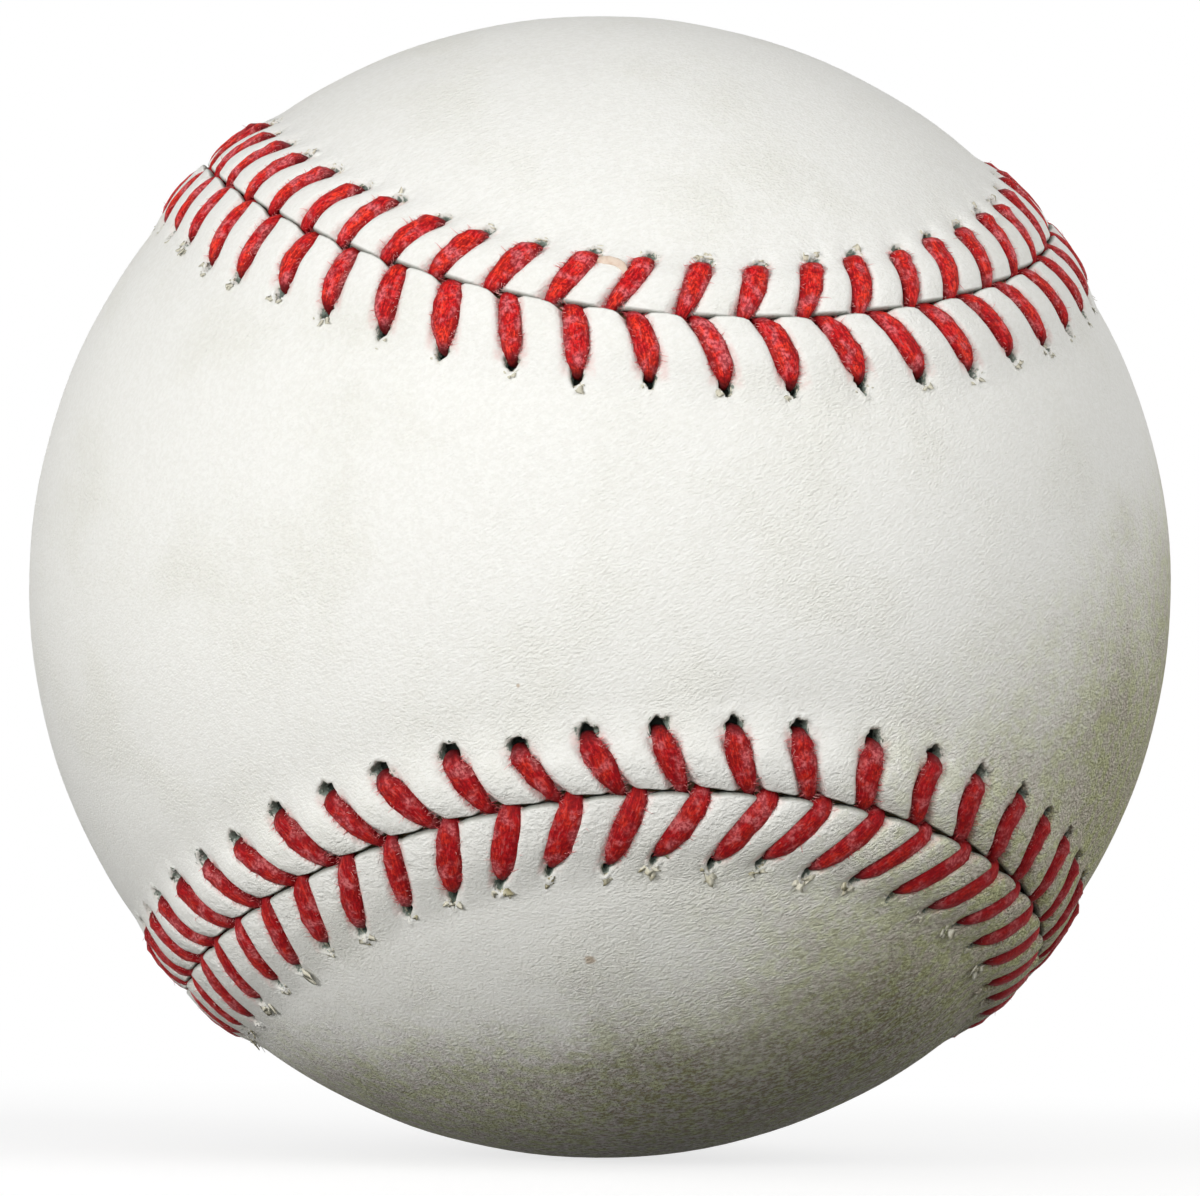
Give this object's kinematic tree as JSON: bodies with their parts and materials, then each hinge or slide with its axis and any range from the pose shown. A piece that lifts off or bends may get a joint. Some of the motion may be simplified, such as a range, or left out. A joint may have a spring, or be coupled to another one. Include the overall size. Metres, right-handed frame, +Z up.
{
  "type": "baseball",
  "caption": "Stitched leather baseball with a rubber-covered cork centre, yarn windings and a figure-eight leather cover.",
  "frame": {"origin": "centre of the ball", "axes": "the front panel's waist faces -Y and is narrow along Z, the back panel's waist faces +Y and is narrow along X; +Z is up as pictured"},
  "size_m": [0.0738, 0.0738, 0.0738],
  "materials": {
    "cork": "ground cork set in rubber, matte",
    "black_rubber": "moulded, matte",
    "red_rubber": "moulded, matte",
    "grey_yarn": "wool yarn, wound tight",
    "white_yarn": "wool yarn, wound tight",
    "finishing_yarn": "fine cotton and polyester yarn",
    "cement": "thin rubber cement, tacky",
    "leather": "alum-tanned white leather, fine grain, satin",
    "red_thread": "waxed cotton thread, twisted"
  },
  "bodies": {
    "root": {"cork_centre": "cork", "upper_black_shell": "black_rubber", "lower_black_shell": "black_rubber", "red_gasket": "red_rubber", "red_rubber_layer": "red_rubber", "first_winding": "grey_yarn", "second_winding": "white_yarn", "third_winding": "grey_yarn", "finishing_winding": "finishing_yarn", "cement_coat": "cement", "front_cover_panel": "leather", "back_cover_panel": "leather", "first_needle_thread": "red_thread", "second_needle_thread": "red_thread"}
  },
  "joints": []
}
